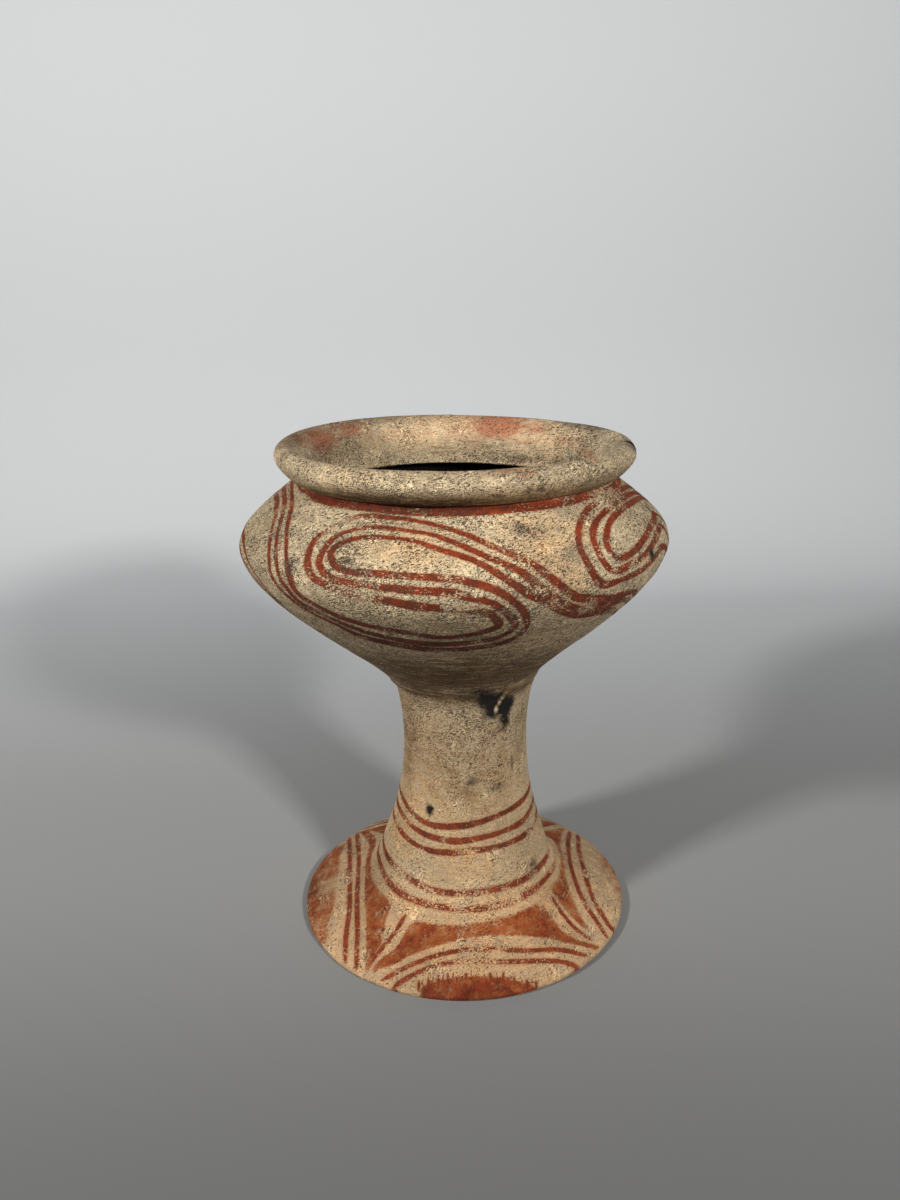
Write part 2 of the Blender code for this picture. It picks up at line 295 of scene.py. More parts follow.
# The same for the lip and the funnel of the mouth; in place of the height, mm back from the neck
# over the lip.
MOUTH_MARKS = {
    "soot_and_shade": (
        (79, 16, 4.5, 4.2, 1.15), (74, 17, 5, 2.4, 0.5), (22, 10, 5.5, 2.2, 0.55),
        (29, 7, 5, 1.8, 0.45), (10, 9, 4, 1.6, 0.3), (122, 21, 22, 2.2, 0.45),
        (150, 40, 26, 4, 0.5), (112, 39, 20, 4, 0.35),
    ),
    "red": (
        (-96, 24, 9, 4, 0.75), (-112, 28, 13, 5.5, 1.2), (-131, 26, 12, 4, 0.8),
        (-150, 30, 16, 4, 0.35), (172, 31, 14, 5, 0.55), (160, 27, 14, 6, 1.35),
        (178, 24, 24, 6, 0.3), (176, 22, 62, 12, 0.28), (144, 27, 9, 4, 0.75),
        (146, 33, 10, 3, 0.5), (122, 31, 14, 3, 0.45), (108, 34, 10, 3, 0.55),
        (13, 19, 7, 2.2, 0.5), (19, 17, 5, 2.6, 0.65), (44, 19, 5, 2, 0.5), (-82, 17, 14, 2.6, 0.4),
    ),
    "pale": (
        (180, 32, 50, 9, 1),
    ),
    # Grey: the broad mark low on the lip, left of the front, is painted shade of the lip's underside.
    "grey": (
        (176, 38, 40, 5, 0.6), (48, 9, 30, 5, 0.45), (-60, 9, 26, 4, 0.25), (-22, 5, 52, 4.5, 0.9),
        (-112, 34, 34, 5, 0.5), (0, 17, 40, 2.5, 0.25), (-95, 20, 24, 3, 0.45),
        (-140, 21, 30, 2.5, 0.45),
    ),
    "warm": (
        (168, 24, 26, 5, 0.8), (-160, 33, 26, 5, 0.5), (20, 8, 20, 4, 0.5),
    ),
}
# A mark fades out at this many times its half width and height.
MARK_REACH = 1.35
# The attributes of the mesh that keep them, three to each.
# Besides stains and wear, they carry painted shade inside the mouth, under the lip, at the seam and at
# the stem's sides, and painted light on the bowl's top.
STORED = {
    "stain_and_shade": ("soot_and_shade", "red", "grey"),
    "tint_and_light": ("blue", "warm", "pale"),
    "use": ("wear", "press", "crease_shade"),
}
# The painted shade of the inside, kept with the burnt spots, starts this much deeper at the left of
# the throat.
INSIDE_SHADE_LAG = 8 * MM
THROAT_RADIUS = 30 * MM

# How strong the hand's dents are beside its swells, and how far up they grow from nothing.
DENT_SHARE = 0.3
STEADY_FOOT = 3 * MM
# How far the seam sways and how far the lap reaches above it, outside the hollow of the stem.
SEAM_SWAY = 1.5 * MM
SEAM_TALL = 7 * MM
HOLLOW_RADIUS = 24 * MM

# Heights in mm between which one part of the pot's finish gives way to the next.
STEM_TO_BOWL = (92, 112)
BOWL_TO_LIP = (193, 197)

# The soft boxes: how wide and tall, how far off, the height that they face and their colour.
BOX_SIZE = (0.14, 0.1)
BOX_DISTANCE = 1.1
BOX_AIM = 0.12
BOX_COLOUR = (1, 0.98, 0.95)
# Where they stand: degrees round from the front, and up.
RIGHT_BOX = (34, 24)
LEFT_BOX = (-58, 25)

ROOM_COLOUR = (0.93, 0.97, 1.0, 1)
SENSOR_WIDTH = 36

LENGTH = {"subtype": "DISTANCE", "unit": "LENGTH"}
ANGLE = {"subtype": "ANGLE", "unit": "ROTATION"}
COLOUR = {"subtype": "COLOR", "size": 3, "min": 0, "max": 1}


class VaseForm(bpy.types.PropertyGroup):
    """Fineness and hand-made unevenness of the turned clay."""

    steps_around: IntProperty(
        name="Steps around", description="Faces in one turn of the pot", default=324, min=24
    )
    row_gap: FloatProperty(
        name="Row gap", description="Height of a row of faces where the outside is seen",
        default=1.3 * MM, **LENGTH,
    )
    hidden_row_gap: FloatProperty(
        name="Hidden row gap", description="Height of a row of faces inside the bowl and the foot",
        default=7 * MM, **LENGTH,
    )
    unevenness: FloatProperty(
        name="Unevenness", description="How far the wall swells and sinks under the hand",
        default=0.35 * MM, **LENGTH,
    )
    seam: FloatProperty(
        name="Seam", description="How far the clay of the bowl laps over the top of the stem",
        default=0.7 * MM, **LENGTH,
    )
    seam_height: FloatProperty(
        name="Seam height", description="Where the bowl's clay ends on the stem", default=111 * MM,
        **LENGTH,
    )


class VasePaint(bpy.types.PropertyGroup):
    """Brush lines and their pigment."""

    line_width: FloatProperty(
        name="Line width", description="Width of one brushed line on the bowl", default=2.4 * MM,
        **LENGTH,
    )
    neck_width: FloatProperty(
        name="Neck band width", description="Width of the band under the lip", default=3.6 * MM,
        **LENGTH,
    )
    foot_width: FloatProperty(
        name="Foot line width", description="Width of the lines round the stem and across the foot",
        default=2.45 * MM, **LENGTH,
    )
    tick_width: FloatProperty(
        name="Tick width", description="Width of the small ticks at the front of the foot",
        default=1.9 * MM, **LENGTH,
    )
    red: FloatVectorProperty(
        name="Red earth", description="Thick paint", default=(0.19, 0.029, 0.008), **COLOUR
    )
    thin_red: FloatVectorProperty(
        name="Thin red earth", description="Paint where the clay shows through",
        default=(0.37, 0.105, 0.028), **COLOUR,
    )


class VaseClay(bpy.types.PropertyGroup):
    """Colours of the clay, its dirt and its painted shade."""

    cream: FloatVectorProperty(
        name="Cream clay", description="Clean slip of the bowl", default=(0.64, 0.505, 0.32),
        **COLOUR,
    )
    warm: FloatVectorProperty(
        name="Warm clay", description="Orange patches left by the fire",
        default=(0.66, 0.425, 0.22), **COLOUR,
    )
    # Grey clouding, and painted shade at the stem's sides and low on the lip: what it leaves of each
    # colour.
    veil: FloatVectorProperty(
        name="Grey veil", description="What the grey clouding leaves of each colour",
        default=(0.20, 0.155, 0.105), **COLOUR,
    )
    # Painted shade: what the darkening under the lip and along the seam under the bowl leaves of each
    # colour, browned.
    shade_under_lip: FloatVectorProperty(
        name="Under the lip", description="What the brown film under the lip leaves of each colour",
        default=(0.42, 0.32, 0.18), **COLOUR,
    )
    haze: FloatVectorProperty(
        name="Blue-grey spots", description="Blots of cool grey on the bowl",
        default=(0.115, 0.12, 0.12), **COLOUR,
    )
    speck: FloatVectorProperty(
        name="Specks", description="Dark grains and pits", default=(0.055, 0.036, 0.022), **COLOUR
    )
    smudge: FloatVectorProperty(
        name="Red smudges", description="Old paint rubbed into the mouth",
        default=(0.50, 0.17, 0.085), **COLOUR,
    )
    # Burnt black spots, and the painted shade of the inside below the throat, which grows less deeper
    # down.
    soot_and_shade: FloatVectorProperty(
        name="Soot", description="Burnt spots and the sooty inside", default=(0.012, 0.010, 0.009),
        **COLOUR,
    )


class VaseStudio(bpy.types.PropertyGroup):
    """Floor, lights and camera."""

    floor: FloatVectorProperty(
        name="Floor", description="Colour of the paper under the pot", default=(0.33, 0.335, 0.335),
        **COLOUR,
    )
    # Painted shade: the paper darkens towards the front edge.
    near: FloatVectorProperty(
        name="Near edge", description="Colour of the paper in front of the pot",
        default=(0.175, 0.178, 0.18), **COLOUR,
    )
    # Painted light: the paper grows paler towards the back and lighter up the backdrop.
    backdrop: FloatVectorProperty(
        name="Backdrop", description="Colour of the paper where it rises behind the pot",
        default=(0.82, 0.845, 0.87), **COLOUR,
    )
    right_power: FloatProperty(
        name="Right lamp", description="Power of the soft box at the right", default=9, min=0
    )
    left_power: FloatProperty(
        name="Left lamp", description="Power of the soft box at the left", default=9, min=0
    )
    room: FloatProperty(
        name="Room light", description="Strength of the light from all round", default=0.01, min=0
    )
    camera_place: FloatVectorProperty(
        name="Camera place", description="Where the camera stands", subtype="TRANSLATION",
        unit="LENGTH", size=3, default=(-2.09 * MM, -367.99 * MM, 260.78 * MM),
    )
    camera_drop: FloatProperty(
        name="Camera drop", description="How far the camera looks down",
        default=math.radians(17.938), **ANGLE,
    )
    camera_roll: FloatProperty(
        name="Camera roll", description="How far the camera is turned about its own axis",
        default=math.radians(-1.22), **ANGLE,
    )
    focal_length: FloatProperty(
        name="Focal length", description="Of a 36 mm wide sensor, in mm", default=37.2, min=1
    )


# Form


def rings_of(body):
    """The body's rings of points, from the bowl's floor out over the lip to the foot's hollow."""
    solid = bmesh.new()
    solid.from_mesh(body.data)
    bmesh.ops.remove_doubles(solid, verts=solid.verts, dist=SAME_POINT)
    most = max(len(vert.link_edges) for vert in solid.verts)
    poles = [vert for vert in solid.verts if len(vert.link_edges) == most]
    ring = {max(poles, key=lambda vert: vert.co.z)}
    seen = set()
    rings = []
    while ring:
        rings.append(np.array([vert.co for vert in ring]))
        seen |= ring
        ring = {edge.other_vert(vert) for vert in ring for edge in vert.link_edges} - seen
    solid.free()
    return rings


def measured(ring):
    """Centre, radius, height and tip of one ring: how it lies in the leaning pot."""
    centre = ring.mean(0)
    across = ring - centre
    radius = np.hypot(across[:, 0], across[:, 1]).mean()
    if radius < SAME_POINT:
        return (centre[0], centre[1], 0.0, centre[2], 0.0, 0.0, 0.0)
    spread = len(ring) * radius * radius / 2
    around = np.arctan2(across[:, 1], across[:, 0])
    tip_x = (across[:, 2] * across[:, 0]).sum() / spread
    tip_y = (across[:, 2] * across[:, 1]).sum() / spread
    warp = (across[:, 2] * np.sin(2 * around)).sum() * 2 / len(ring)
    return (centre[0], centre[1], radius, centre[2], tip_x, tip_y, warp)


class Outline:
    """The pot's outline as the body has it, made smooth, and how it leans at each point."""

    # A turn of the outline past this stays a corner.
    SHARP = math.radians(40)
    # Rings of the body before the top, to where the lip and the throat begin, after the neck, to
    # where the lip ends, and after the widest one, from where the foot's edge is looked for.
    LIP_RINGS = 7
    FUNNEL_RINGS = 5
    NECK_RINGS = 2
    BELLY_RINGS = 8
    # How much closer the rows of the lip are, and how far a row may stretch before one is added.
    LIP_GAP = 0.75
    SLACK = 0.2

    def __init__(self, body, form):
        rows = np.array([measured(ring) for ring in rings_of(body)])
        corners = [Vector((row[2], row[3])) for row in rows]
        widest = int(rows[:, 2].argmax())
        top = int(rows[:, 3].argmax())
        neck = min(range(top, widest), key=lambda index: rows[index, 2])
        edge = max(range(widest + self.BELLY_RINGS, len(rows)), key=lambda index: rows[index, 2])
        points = [corners[0]]
        shares = [0.0]
        for index in range(len(corners) - 1):
            seen = top - self.LIP_RINGS <= index < edge
            gap = form.row_gap if seen else form.hidden_row_gap
            if top - self.LIP_RINGS <= index < neck + self.NECK_RINGS:
                gap *= self.LIP_GAP
            start, end = corners[index], corners[index + 1]
            pieces = max(1, math.ceil((end - start).length / gap - self.SLACK))
            handle_out = start + self.slope(corners, index, 1) * (end - start).length / 3
            handle_in = end - self.slope(corners, index + 1, -1) * (end - start).length / 3
            for step in range(1, pieces + 1):
                share = step / pieces
                points.append(self.bezier(start, handle_out, handle_in, end, share))
                shares.append(index + share)
        self.points = np.array(points)
        self.lean = np.array(
            [np.interp(shares, range(len(rows)), rows[:, column]) for column in (0, 1, 4, 5, 6)]
        )
        steps = np.linalg.norm(np.diff(self.points, axis=0), axis=1)
        self.along = np.concatenate(([0], np.cumsum(steps)))
        first = int(np.searchsorted(shares, neck))
        last = int(np.searchsorted(shares, edge))
        self.outside = slice(first, last + 1)
        self.throat_along = self.along[int(np.searchsorted(shares, top - self.FUNNEL_RINGS))]
        self.neck_along = self.along[first]
        self.edge_along = self.along[last]

    def slope(self, corners, index, side):
        """Direction of the outline at a corner, seen from the run after it (1) or before (-1)."""
        before = corners[index] - corners[index - 1] if index > 0 else None
        after = corners[index + 1] - corners[index] if index + 1 < len(corners) else None
        if before is None or after is None:
            only = after if before is None else before
            return only.normalized()
        if before.angle(after) > self.SHARP:
            return (after if side > 0 else before).normalized()
        weight = before.length / (before.length + after.length)
        return before.normalized().lerp(after.normalized(), weight).normalized()

    @staticmethod
    def bezier(start, handle_out, handle_in, end, share):
        """The place on one soft run of the outline that lies at a share of its way."""
        rest = 1 - share
        return (
            start * rest**3
            + handle_out * 3 * rest * rest * share
            + handle_in * 3 * rest * share * share
            + end * share**3
        )

    def leaned(self, around, radius, height, along):
        """Points of the plain turned shape, moved to where the leaning pot has them."""
        columns = [np.interp(along, self.along, column) for column in self.lean]
        shift_x, shift_y, tip_x, tip_y, warp = columns
        x = radius * np.cos(around)
        y = radius * np.sin(around)
        z = height + tip_x * x + tip_y * y + warp * np.sin(2 * around)
        return np.stack([x + shift_x, y + shift_y, z], axis=-1)

    def place(self, degrees, along):
        """A place on the skin from degrees round from the front and the way along."""
        around = np.radians(np.asarray(degrees, float) - 90)
        radius = np.interp(along, self.along, self.points[:, 0])
        height = np.interp(along, self.along, self.points[:, 1])
        return self.leaned(around, radius, height, along)

    def at_height(self, places):
        """Points on the outside from (degrees, height in mm)."""
        degrees, heights = np.array(places, float).T
        known = self.points[self.outside, 1][::-1]
        along = np.interp(heights * MM, known, self.along[self.outside][::-1])
        return self.place(degrees, along)

    def on_foot(self, places):
        """Points on the foot from (mm to the right, mm towards the front), seen from above."""
        right, front = np.array(places, float).T
        radii = self.points[self.outside, 0]
        waist = int(radii.argmin())
        along = np.interp(np.hypot(right, front) * MM, radii[waist:], self.along[self.outside][waist:])
        return self.place(np.degrees(np.arctan2(right, front)), along)


def turned(name, outline, steps):
    """The outline spun into a closed skin, with the way along the outline kept on each point."""
    skin = bmesh.new()
    layer = skin.verts.layers.float.new("along")
    verts = []
    for (radius, height), along in zip(outline.points, outline.along):
        vert = skin.verts.new((radius, 0, height))
        vert[layer] = along
        verts.append(vert)
    edges = [skin.edges.new(pair) for pair in zip(verts, verts[1:])]
    bmesh.ops.spin(
        skin,
        geom=verts + edges,
        cent=(0, 0, 0),
        axis=(0, 0, 1),
        dvec=(0, 0, 0),
        angle=TURN,
        steps=steps,
        use_merge=True,
        use_duplicate=False,
    )
    bmesh.ops.remove_doubles(skin, verts=skin.verts, dist=SAME_POINT)
    bmesh.ops.recalc_face_normals(skin, faces=skin.faces)
    mesh = bpy.data.meshes.new(name)
    skin.to_mesh(mesh)
    skin.free()
    return mesh


def read(mesh, name="position", width=3):
    """A point attribute of the mesh as an array."""
    data = mesh.attributes[name].data
    values = np.zeros(len(data) * width, np.float32)
    data.foreach_get("vector" if width == 3 else "value", values)
    return values.reshape(-1, width) if width > 1 else values


def write(mesh, name, values):
    """Keeps one vector for each point of the mesh, for the material to read."""
    attribute = mesh.attributes.get(name) or mesh.attributes.new(name, "FLOAT_VECTOR", "POINT")
    attribute.data.foreach_set("vector", np.asarray(values, np.float32).ravel())


def soft_step(values, low, high):
    """Rises softly from 0 to 1 as the values go from low to high."""
    share = np.clip((values - low) / (high - low), 0, 1)
    return share * share * (3 - 2 * share)


def hand_noise(places, per_metre, shift=(0, 0, 0)):
    """Soft noise at each place, from about -1 to 1."""
    return np.array([noise.noise(Vector(place) * per_metre + Vector(shift)) for place in places])


def uneven(places, normals, form):
    """The places moved in and out of the wall, as the hand left it."""
    swell = hand_noise(places, 38)
    dents = hand_noise(places, 150, (9, 4, 2))
    lap = hand_noise(places, 90, (3, 8, 5))
    out = form.unevenness * (swell + DENT_SHARE * dents)
    above = places[:, 2] - form.seam_height + SEAM_SWAY * lap
    outside = np.hypot(places[:, 0], places[:, 1]) > HOLLOW_RADIUS
    on_seam = soft_step(above, -1.2 * MM, 0.2 * MM) * soft_step(-above, -SEAM_TALL, 0)
    out += form.seam * (0.7 + lap) * on_seam * outside
    out *= soft_step(places[:, 2], 0, STEADY_FOOT)
    return places + normals * out[:, None]


# Paint


def smooth_run(points, closed, gap=0.4 * MM):
    """Evenly close points on a soft curve through the given ones."""
    if closed:
        corners = [points[-1], *points, points[0], points[1]]
    else:
        corners = [2 * points[0] - points[1], *points, 2 * points[-1] - points[-2]]
    run = []
    for before, start, end, after in zip(corners, corners[1:], corners[2:], corners[3:]):
        pieces = max(2, math.ceil(np.linalg.norm(end - start) / gap))
        share = (np.arange(pieces) / pieces)[:, None]
        bend = 2 * before - 5 * start + 4 * end - after
        twist = 3 * start - before - 3 * end + after
        run.append(start + share * (end - before + share * (bend + share * twist)) / 2)
    run.append(points[:1] if closed else points[-1:])
    return np.concatenate(run)


class Brush:
    """All the lines of one family; neighbouring lines belong to different families."""

    # Length and strength of the swells in a line's width.
    BEAT = 15 * MM
    SWAY = 0.22
    # How far a line is felt, in half widths.
    REACH = 4
    # Length of its round ends, in widths, and the least that is left of them.
    TIP = 1.5
    BLUNT = 0.02
    PAST_END = 0.3 * MM

    def __init__(self):
        self.runs = []

    def stroke(self, points, width, closed=False):
        """One pull of the brush through the points: it swells, thins and ends round."""
        run = smooth_run(np.asarray(points), closed)
        heading = np.gradient(run, axis=0)
        heading /= np.linalg.norm(heading, axis=1)[:, None]
        steps = np.linalg.norm(np.diff(run, axis=0), axis=1)
        way = np.concatenate(([0], np.cumsum(steps)))
        sway = [noise.noise(Vector((place / self.BEAT, len(self.runs), width / MM))) for place in way]
        half = width / 2 * (1 + self.SWAY * np.array(sway))
        if not closed:
            left = np.minimum(way, way[-1] - way) / (self.TIP * width)
            half *= np.sqrt(np.clip(left, self.BLUNT, 1))
        ends = np.zeros(len(run)) if closed else np.where((way == 0) | (way == way[-1]), 1, 0)
        self.runs.append(np.column_stack([run, heading, half, ends]))

    def distances(self, places, normals):
        """Distance across and half width of the nearest line, in mm, at each place."""
        runs = np.concatenate(self.runs)
        tree = KDTree(len(runs))
        for index, point in enumerate(runs[:, :3]):
            tree.insert(point, index)
        tree.balance()
        nearest = runs[[tree.find(place)[1] for place in places]]
        offset = places - nearest[:, :3]
        heading = nearest[:, 3:6]
        across = (offset * np.cross(normals, heading)).sum(1)
        half = nearest[:, 6]
        beyond = (nearest[:, 7] > 0) & (np.abs((offset * heading).sum(1)) > self.PAST_END)
        far = np.linalg.norm(offset, axis=1) > self.REACH * half + 1 * MM
        half = np.where(beyond | far, 0, half)
        return np.stack([across, half, np.zeros(len(half))], axis=-1) / MM


def scroll_places(name):
    """One of the three closed lines round the bowl, as (degrees, height)."""
    line = []
    for figure in FIGURES:
        for part, places in SCROLL[name].items():
            if (figure, part) in OWN_WAY:
                line += OWN_WAY[figure, part][name]
            elif figure == 0:
                line += places
            else:
                sway = noise.noise(Vector((figure, ord(name), len(part))))
                line += [(figure + degree, height + sway) for degree, height in places]
    return line


def paint_lines(mesh, outline, paint, normals):
    """Writes the three families of brush lines onto the mesh."""
    places = read(mesh)
    along = read(mesh, "along", 1)
    outside = (along >= outline.neck_along - 2 * MM) & (along <= outline.edge_along)
    for name in SCROLL:
        brush = Brush()
        brush.stroke(outline.at_height(scroll_places(name)), paint.line_width, True)
        for band in STEM_BANDS[name]:
            brush.stroke(outline.at_height(band), paint.foot_width, True)
        for line in FOOT_LINES.get(name, ()):
            brush.stroke(outline.on_foot(line), paint.foot_width)
        if name == "c":
            brush.stroke(outline.at_height(NECK_BAND), paint.neck_width, True)
            for line in THIN_LINES:
                brush.stroke(outline.on_foot(line), THIN_SHARE * paint.foot_width)
            for right in TICKS:
                front = TICK_FRONT - TICK_SAG * (TICK_SPREAD - abs(right - TICK_MIDDLE)) ** 2
                tick = ((right, front + 2.5), (right, front - 1.6))
                brush.stroke(outline.on_foot(tick), paint.tick_width)
        values = np.zeros_like(places)
        values[outside] = brush.distances(places[outside], normals[outside])
        write(mesh, "brush_" + name, values)


def inside_distance(places, edge):
    """How far each flat place lies inside a closed edge, negative outside it."""
    nearest = np.min(np.linalg.norm(places[:, None] - edge[None], axis=2), axis=1)
    before = np.roll(edge, 1, axis=0)
    crossings = np.zeros(len(places), int)
    for (x0, y0), (x1, y1) in zip(before, edge):
        if y0 != y1:
            level = (places[:, 1] > min(y0, y1)) & (places[:, 1] <= max(y0, y1))
            crossing = x0 + (places[:, 1] - y0) * (x1 - x0) / (y1 - y0)
            crossings += level & (places[:, 0] < crossing)
    return np.where(crossings % 2 == 1, nearest, -nearest)


def paint_washes(mesh, outline):
    """Writes how deep each point of the foot lies in a filled area, and how thick the paint is."""
    places = read(mesh)
    along = read(mesh, "along", 1)
    foot = (along <= outline.edge_along) & (along > outline.neck_along)
    foot &= places[:, 2] < WASH_TOP * MM
    shift = outline.lean[:2, outline.outside][:, -1]
    flat = (places[foot, :2] - shift) * (1, -1) / MM
    depth = np.full(len(flat), NO_WASH)
    thickness = np.zeros(len(flat))
    for thick, corners in WASHES:
        edge = smooth_run(np.array(corners, float), True, 0.8)[:-1]
        inside = inside_distance(flat, edge)
        thickness = np.where(inside > depth, thick, thickness)
        depth = np.maximum(depth, inside)
    values = np.zeros_like(places)
    values[:, 0] = NO_WASH
    values[foot, 0] = depth
    values[foot, 1] = thickness
    write(mesh, "wash", values)


def bell(values, width):
    """1 where the values are 0, and next to nothing past twice the width."""
    return np.exp(-((values / width) ** 2))


def stain_and_shade(mesh, outline, form):
    """Writes the stains, the wear, the dirt and the painted shade and light, each from 0 to about 1.
    """
    places = read(mesh)
    along = read(mesh, "along", 1)
    amount = {kind: np.zeros(len(places)) for kinds in STORED.values() for kind in kinds}
    marks = []
    for kind, rows in MARKS.items():
        marks += [(kind, row, outline.at_height([row[:2]])[0]) for row in rows]
    for kind, rows in MOUTH_MARKS.items():
        for row in rows:
            marks.append((kind, row, outline.place(row[0], outline.neck_along - row[1] * MM)))
    for kind, (_, _, wide, tall, strength), centre in marks:
        offset = (places - centre) / MM
        apart = np.hypot(np.hypot(offset[:, 0], offset[:, 1]) / wide, offset[:, 2] / tall)
        fade = strength * np.clip(1 - (apart / MARK_REACH) ** 2, 0, 1) ** 1.5
        strongest = np.abs(fade) > np.abs(amount[kind])
        amount[kind] = np.where(strongest, fade, amount[kind])
    # Painted shade inside the mouth: the inside is blackened below the throat, most just under it.
    lag = INSIDE_SHADE_LAG * np.clip(-places[:, 0] / THROAT_RADIUS, 0, 1)
    throat = outline.throat_along - along
    inside = soft_step(throat - lag, -3 * MM, 5 * MM)
    deep = soft_step(throat, 12 * MM, 55 * MM)
    amount["soot_and_shade"] = np.maximum(amount["soot_and_shade"], inside * (1.2 - 0.85 * deep))
    # Painted shade under the lip, and in a thin line just under the bowl's edge at the seam.
    shade_under_lip = bell(along - outline.neck_along + 5 * MM, 3 * MM)
    seam_shade = bell(places[:, 2] - form.seam_height + 0.6 * MM, 1.5 * MM)
    amount["crease_shade"] = np.maximum(shade_under_lip, 1.1 * seam_shade * (along > outline.neck_along))
    for name, kinds in STORED.items():
        write(mesh, name, np.stack([amount[kind] for kind in kinds], -1))


# Materials


class Value:
    """A number or a colour that a material works out; sums and products of it become nodes."""

    def __init__(self, made, socket):
        self.made = made
        self.socket = socket

    def __add__(self, other):
        return self.made.math("ADD", self, other)

    def __radd__(self, other):
        return self.made.math("ADD", other, self)

    def __sub__(self, other):
        return self.made.math("SUBTRACT", self, other)

    def __mul__(self, other):
        return self.made.math("MULTIPLY", self, other)

    def __abs__(self):
        return self.made.math("ABSOLUTE", self)


class Recipe:
    """Builds one material's nodes."""

    def __init__(self, name):
        self.material = bpy.data.materials.new(name)
        self.material.use_nodes = True
        self.tree = self.material.node_tree
        self.shader = self.tree.nodes["Principled BSDF"]

    def feed(self, socket, value):
        """Links a socket to a value that is worked out, or sets it to a plain one."""
        if isinstance(value, Value):
            self.tree.links.new(value.socket, socket)
        elif value is not None:
            if socket.type == "RGBA" and len(value) == 3:
                value = (*value, 1)
            socket.default_value = value

    def add(self, kind, inputs, output=0, **settings):
        """A new node with its inputs fed; gives one of its outputs."""
        node = self.tree.nodes.new("ShaderNode" + kind)
        for setting, value in settings.items():
            setattr(node, setting, value)
        for socket, value in inputs.items():
            self.feed(node.inputs[socket], value)
        return Value(self, node.outputs[output])

    def math(self, operation, first, second=None):
        return self.add("Math", {0: first, 1: second}, operation=operation)

    def most(self, first, second):
        return self.math("MAXIMUM", first, second)

    def clamped(self, value):
        return self.add("Clamp", {0: value})

    def band(self, value, low, high, to_low=0.0, to_high=1.0):
        """Rises softly from to_low to to_high as the value goes from low to high."""
        inputs = {"Value": value, "From Min": low, "From Max": high}
        inputs.update({"To Min": to_low, "To Max": to_high})
        return self.add("MapRange", inputs, interpolation_type="SMOOTHSTEP")

    def mix(self, share, below, above, blend="MIX"):
        node = self.tree.nodes.new("ShaderNodeMix")
        node.data_type = "RGBA"
        node.blend_type = blend
        self.feed(node.inputs[0], share)
        self.feed(node.inputs[6], below)
        self.feed(node.inputs[7], above)
        return Value(self, node.outputs[2])

    def shaded(self, colour, value):
        """The colour made lighter or darker by a value about 1."""
        return self.add("VectorMath", {0: colour, "Scale": value}, operation="SCALE")

    def noise(self, vector, scale, detail=2.0, roughness=0.5):
        inputs = {"Vector": vector, "Scale": scale, "Detail": detail, "Roughness": roughness}
        return self.add("TexNoise", inputs)

    def stretched(self, vector, scale):
        return self.add("VectorMath", {0: vector, 1: scale}, operation="MULTIPLY")

    def turned(self, vector, angles):
        inputs = {"Vector": vector, "Rotation": angles}
        return self.add("VectorRotate", inputs, rotation_type="EULER_XYZ")

    def split(self, vector):
        """The three numbers of a vector."""
        node = self.tree.nodes.new("ShaderNodeSeparateXYZ")
        self.feed(node.inputs[0], vector)
        return [Value(self, output) for output in node.outputs]

    def parts(self, name):
        """The three numbers of an attribute of the mesh."""
        return self.split(self.add("Attribute", {}, 1, attribute_name=name))

    def scratches(self, mm, angles, width):
        """Fine broken lines that run mostly one way."""
        lines = self.noise(self.stretched(self.turned(mm, angles), (0.05, 0.05, 0.8)), 1.0, 1.0)
        thin = self.band(abs(lines - 0.5), width, 0)
        broken = self.band(self.noise(mm, 0.14, 3), 0.56, 0.66)
        return thin * broken


def painted(made, mm, up, grain, flakes, press, wear):
    """Where thin and where thick paint lies, from the brush lines and the filled areas."""
    wobble = made.noise(mm, 0.5, 3, 0.6) - 0.5
    rough = grain - 0.5
    swell = made.band(up, *STEM_TO_BOWL, 0.88, 1) + press
    ragged = wobble + rough * 1.5
    film = made.band(up, 35, 22, -0.6, -1.4)
    thin = None
    thick = None
    for name in SCROLL:
        across, half, _ = made.parts("brush_" + name)
        edge = half * swell - abs(across) + ragged
        known = made.band(half, 0.05, 0.2)
        core = made.band(edge, -0.05, 0.16) * known
        fringe = made.band(edge, film, 0.1, 0, 0.55) * known
        thick = core if thick is None else made.most(thick, core)
        thin = fringe if thin is None else made.most(thin, fringe)
    rubbed_off = made.band(made.noise(mm, 0.11, 3, 0.6) + wear * 0.5, 0.35, 0.9)
    left = flakes - rubbed_off * 0.36
    thick *= made.band(left, 0.23, 0.34)
    thick *= made.band(up, *STEM_TO_BOWL, 0.95, 1)
    thin *= made.band(left, 0.12, 0.3)

    depth, dense, _ = made.parts("wash")
    full = made.band(dense, 0.9, 0.6, 0.8, 9)
    inside = made.band(depth + ragged * 1.6, -0.5, full)
    patches = made.noise(mm, 0.15, 5, 0.66) + dense * 0.4 + rough * 0.5 - wear * 0.3
    wash = inside * made.band(patches, 0.55, 0.85, 0.3, 1)
    deep = inside * made.band(patches, 0.8, 1.03)
    blush = made.band(up, 26, 12, 0, 0.2) * made.band(patches, 0.4, 0.8)
    thin = made.most(thin, blush)
    return made.most(thin, wash), made.most(thick, deep)


